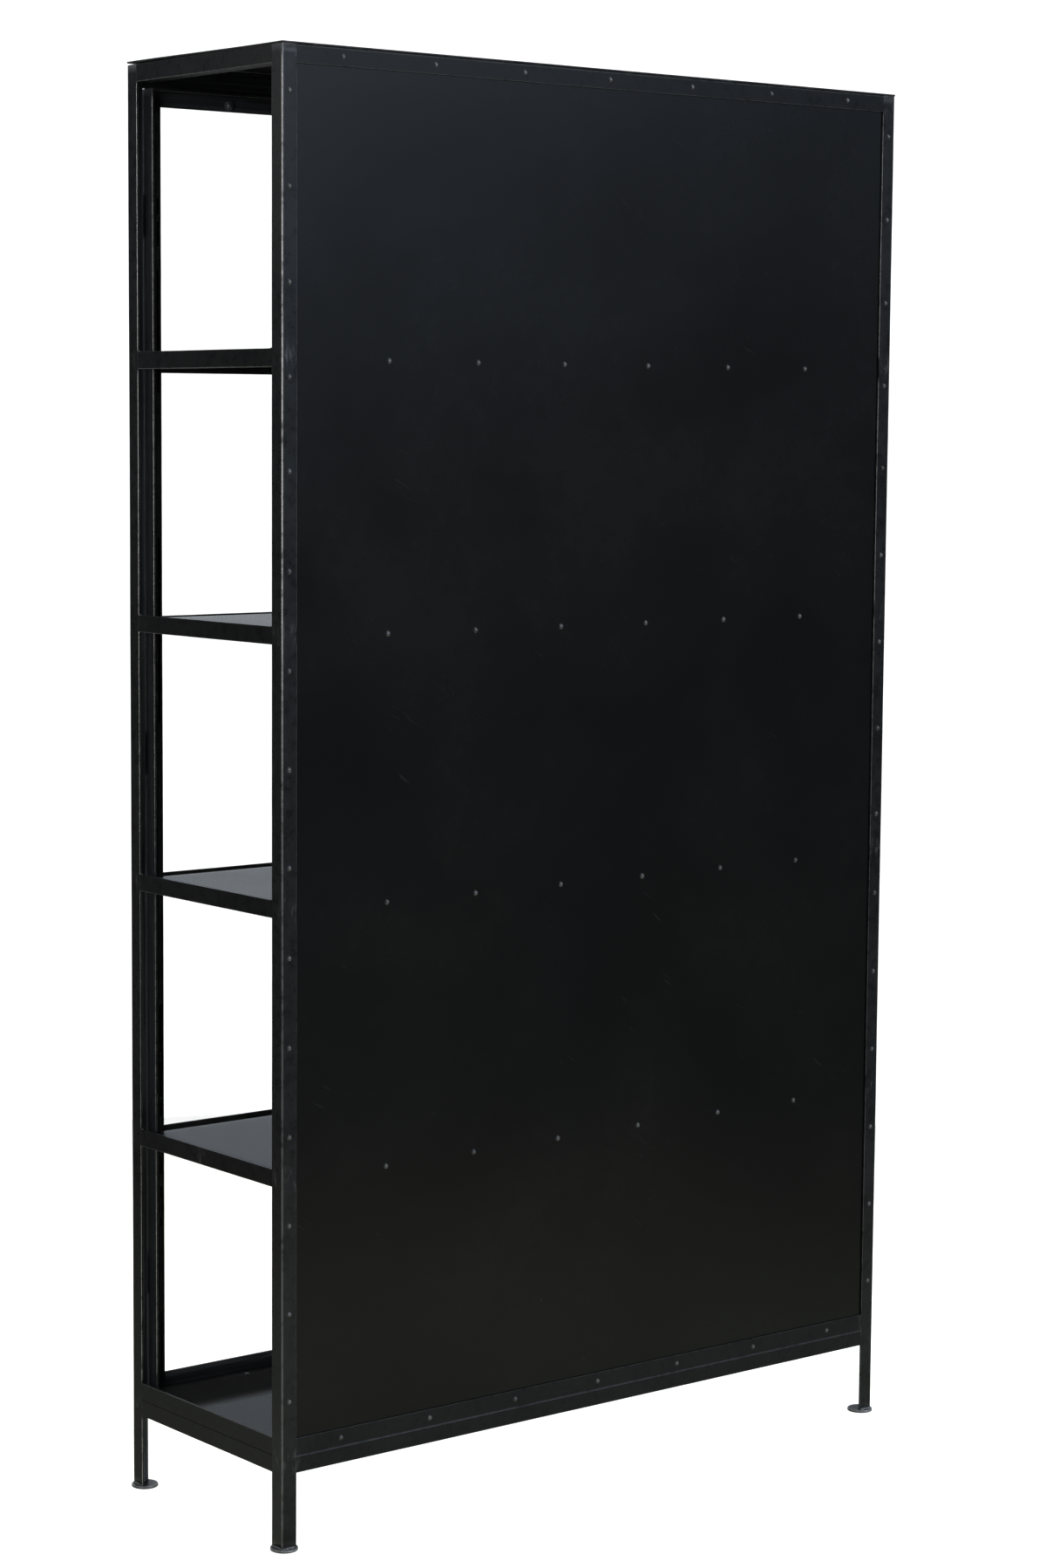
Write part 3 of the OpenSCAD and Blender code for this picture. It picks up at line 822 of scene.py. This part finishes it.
# -------------------------------------------------------------------- doors
for side, name in SIDES:
    body = name + "_door"
    for part, edge in (("hinge_stile", side), ("meeting_stile", -side)):
        node = f"{name}_{part}"
        low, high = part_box(node)
        section = angle_section(high.x - low.x, high.y - low.y, toe=3.0, r=0.0006, painted_light={5: 0.4})
        member(node, body, section, (edge, -1, -1), X * -edge, Y, Z, caps=(True, True),
               material=DOOR_IRON_LIT)
    for n in SHELVES:
        node = f"{name}_bar_{n}"
        low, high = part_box(node)
        member(node, body, bar_section(high.y - low.y, high.z - low.z, 0.15),
               (-1, -1, -1), Y, Z, X, material=DOOR_RAIL_IRON_LIT, step=0.02)
    for part in ("door_top_rail", "door_bottom_rail"):
        node = f"{name}_{part}"
        low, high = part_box(node)
        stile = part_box(f"{name}_hinge_stile")
        face_in = stile[1].x - stile[0].x - IRON_T
        edge_z, inward = (high.z, -Z) if part == "door_top_rail" else (low.z, Z)
        # The rail's face fits between the stiles' faces; its flange lies behind.
        face = extrude(bar_section(IRON_T, high.z - low.z, painted_light={1: 0.3}),
                       Vector((low.x + face_in - 0.0005, low.y, edge_z)), Y, inward, X,
                       high.x - low.x - 2 * face_in + 0.001, 0.012, (False, False))
        flange = extrude(bar_section(high.y - low.y - IRON_T + 0.0005, IRON_T),
                         Vector((low.x, low.y + IRON_T - 0.0005, edge_z)), Y, inward, X,
                         high.x - low.x, 0.012, (False, False))
        parts = [(p, f, a["wear"], a["painted_light"]) for p, f, a in (face, flange)]
        gather(node + "_iron", parts, DOOR_RAIL_IRON_LIT, (node,), body)
    glass = nodes[name + "_glass"]
    glass.data.materials.clear()
    glass.data.materials.append(GLASS)
    glass.visible_shadow = False


# ------------------------------------------------------ hardware from the CAD
def dress(node, material, ease=0.0004):
    """Gives a CAD node its material and eased edges."""
    target = nodes[node]
    target.data.materials.clear()
    target.data.materials.append(material)
    if ease:
        weld = target.modifiers.new("join", "WELD")
        weld.merge_threshold = 2e-6
        edge = target.modifiers.new("ease", "BEVEL")
        edge.width, edge.segments = ease, 2
        edge.limit_method, edge.angle_limit = "ANGLE", math.radians(40)
        edge.harden_normals = True
        edge.use_clamp_overlap = True


dress("door_stop", HARDWARE)
dress("hinge_pins", HARDWARE)
for name in ("left", "right"):
    dress(name + "_hinge_sleeves", HARDWARE)
    dress(name + "_knob", HARDWARE, 0)
    dress(name + "_glass_clips", CLIP_HIGHLIT, 0.0003)


# ------------------------------------------------------------ floor and world
def seen_directly(tree):
    """1 for what is seen directly or through glass, and 0 in reflections."""
    path = put(tree, "ShaderNodeLightPath")
    seen = calc(tree, "MAXIMUM", path.outputs["Is Camera Ray"], path.outputs["Is Transmission Ray"])
    mirrored = plus(tree, path.outputs["Glossy Depth"], path.outputs["Diffuse Depth"])
    return times(tree, seen, calc(tree, "LESS_THAN", mirrored, 0.5))


def build_floor():
    # Beyond this disc the world is just as pale to the camera, but dim in
    # reflections, as a white floor under a lit object is in a dark room.
    mesh = bpy.data.meshes.new("floor")
    turns = [2 * math.pi * i / 96 for i in range(96)]
    edge = [(FLOOR_RADIUS * math.cos(a), FLOOR_RADIUS * math.sin(a), 0) for a in turns]
    mesh.from_pydata(edge, [], [tuple(range(len(edge)))])
    floor = bpy.data.objects.new("floor", mesh)
    bpy.context.scene.collection.objects.link(floor)
    made, tree, shader, coords = new_material("pale_floor")
    tone = rise(tree, cloud(tree, coords, 1.5, 3.0), 0.3, 0.7)
    paint = blend_colour(tree, tone, grey(0.38, FLOOR_TINT), grey(0.40, FLOOR_TINT))

    # The floor is lit most behind the cabinet, and also in front of it. Towards
    # its rim it turns into what the world shows below the horizon.
    def pool(x, y, wide, strength):
        away = put(tree, "ShaderNodeVectorMath", {0: coords, 1: (x, y, 0.0)},
                   operation="DISTANCE").outputs["Value"]
        return rise(tree, away, wide, 0.3, 0.0, strength)

    out = put(tree, "ShaderNodeVectorMath", {0: coords}, operation="LENGTH").outputs["Value"]
    rim = rise(tree, out, 1.5, FLOOR_RADIUS)
    far = rise(tree, along_axis(tree, coords, 1), 0.0, 2.0, 0.17, 0.64)
    glow = plus(tree, pool(0.3, 1.6, 2.5, 1.2), pool(-0.8, -1.7, 1.5, 0.25))
    glow = plus(tree, glow, 0.08)
    glow = put(tree, "ShaderNodeMix", {0: rim, 2: glow, 3: far}).outputs[0]
    seen = seen_directly(tree)
    feed(
        tree,
        shader,
        Base_Color=blend_colour(tree, rim, paint, grey(0.0)),
        Roughness=0.9,
        Specular_IOR_Level=0.0,
        Emission_Color=blend_colour(tree, seen, grey(1.0, FLOOR_TINT), grey(1.0)),
        Emission_Strength=calc(tree, "MAXIMUM", glow, seen),
    )
    mesh.materials.append(made)


def build_world():
    """A pale backdrop; the glossy black mostly reflects a dim room in front,
    with a bright band above the horizon behind the camera on each side."""
    world = bpy.data.worlds.new("studio")
    bpy.context.scene.world = world
    world.use_nodes = True
    tree = world.node_tree
    tree.nodes.clear()
    direction = put(tree, "ShaderNodeTexCoord").outputs["Generated"]
    xyz = put(tree, "ShaderNodeSeparateXYZ", {0: direction})
    z = xyz.outputs[2]
    flat = put(tree, "ShaderNodeCombineXYZ", {0: xyz.outputs[0], 1: xyz.outputs[1]})
    level = put(tree, "ShaderNodeVectorMath", {0: flat.outputs[0]}, operation="NORMALIZE")

    def towards(x, y, wide, narrow):
        """1 in the compass direction x, y, and 0 well to either side of it."""
        toward = put(tree, "ShaderNodeVectorMath", {0: level.outputs[0], 1: (x, y, 0.0)},
                     operation="DOT_PRODUCT")
        return rise(tree, toward.outputs["Value"], wide, narrow)

    def both(a, b, strength=1.0):
        return times(tree, times(tree, a, b), strength)

    band = both(rise(tree, z, 0.03, 0.22), rise(tree, z, 0.5, 0.3))
    behind = both(band, towards(-0.35, 0.94, 0.91, 0.985), 15.5)
    far_floor = both(rise(tree, z, 0.0, -0.1), towards(-0.38, 0.925, 0.86, 0.985), 0.42)
    in_front = both(towards(0.0, -1.0, 0.92, 0.985), rise(tree, z, 0.6, 0.3), 1.3)
    ahead = towards(-0.61, -0.79, 0.3, 0.85)
    backdrop = both(ahead, rise(tree, z, -0.02, 0.02), 0.42)
    above = times(tree, rise(tree, z, 0.55, 0.9), 0.6)
    # Seen from below, the rails mirror the dark foot of the backdrop.
    foot = both(ahead, rise(tree, z, 0.01, -0.03))
    foot = both(foot, rise(tree, z, -0.15, -0.08), 0.85)
    total = times(tree, calc(tree, "SUBTRACT", 1.0, foot), 0.18)
    for part in (behind, far_floor, in_front, backdrop, above):
        total = plus(tree, part, total)
    cool = times(tree, rise(tree, z, -0.02, 0.15), rise(tree, xyz.outputs[1], -0.5, 0.5, 0.6))
    tint = blend_colour(tree, cool, (0.97, 0.99, 0.98, 1.0), (0.80, 0.93, 1.14, 1.0))
    room = put(tree, "ShaderNodeBackground", {"Color": tint, "Strength": total})
    pale = put(tree, "ShaderNodeBackground", {"Color": (1, 1, 1, 1), "Strength": 1.25})
    mixed = put(tree, "ShaderNodeMixShader",
                {0: seen_directly(tree), 1: room.outputs[0], 2: pale.outputs[0]})
    out = put(tree, "ShaderNodeOutputWorld")
    tree.links.new(mixed.outputs[0], out.inputs[0])


def softbox(name, place, target, size, power):
    """A soft rectangular lamp, aimed at target, which the camera doesn't see."""
    data = bpy.data.lights.new(name, "AREA")
    data.shape, data.size, data.size_y, data.energy = "RECTANGLE", size[0], size[1], power
    made = bpy.data.objects.new(name, data)
    bpy.context.scene.collection.objects.link(made)
    made.visible_camera = made.visible_transmission = False
    made.location = place
    made.rotation_euler = (Vector(target) - Vector(place)).to_track_quat("-Z", "Y").to_euler()


build_floor()
build_world()
softbox("overhead", (0.0, 0.0, 4.5), (0.0, 0.0, 0.0), (4.0, 4.0), 130.0)
softbox("right_front", (1.75, -1.05, 2.45), (0.6, 0.2, 2.0), (0.4, 1.1), 4.2)
softbox("front", (-1.3, -3.8, 4.4), (0.0, 0.0, 1.0), (2.6, 2.0), 120.0)
softbox("beside_camera", (4.3, 2.3, 1.75), (0.5, 0.2, 1.7), (1.5, 1.7), 60.0)

# ------------------------------------------------------------------- camera
# Found from the vanishing points of the photographed cabinet.
CAMERA_AT = (3.2504, 4.0053, 1.5883)
HEADING, TILT, ROLL = 142.209, -5.983, 0.2935
camera_data = bpy.data.cameras.new("camera")
camera = bpy.data.objects.new("camera", camera_data)
bpy.context.scene.collection.objects.link(camera)
camera_data.lens = 77.743
camera_data.sensor_width = 36.0
camera_data.shift_x, camera_data.shift_y = 0.0512, -0.0040
camera_data.clip_end = 200.0
camera.matrix_world = (
    Matrix.Translation(CAMERA_AT)
    @ Matrix.Rotation(math.radians(HEADING), 4, "Z")
    @ Matrix.Rotation(math.radians(90 + TILT), 4, "X")
    @ Matrix.Rotation(math.radians(ROLL), 4, "Z")
)
bpy.context.scene.camera = camera
bpy.context.scene.view_settings.view_transform = "Standard"
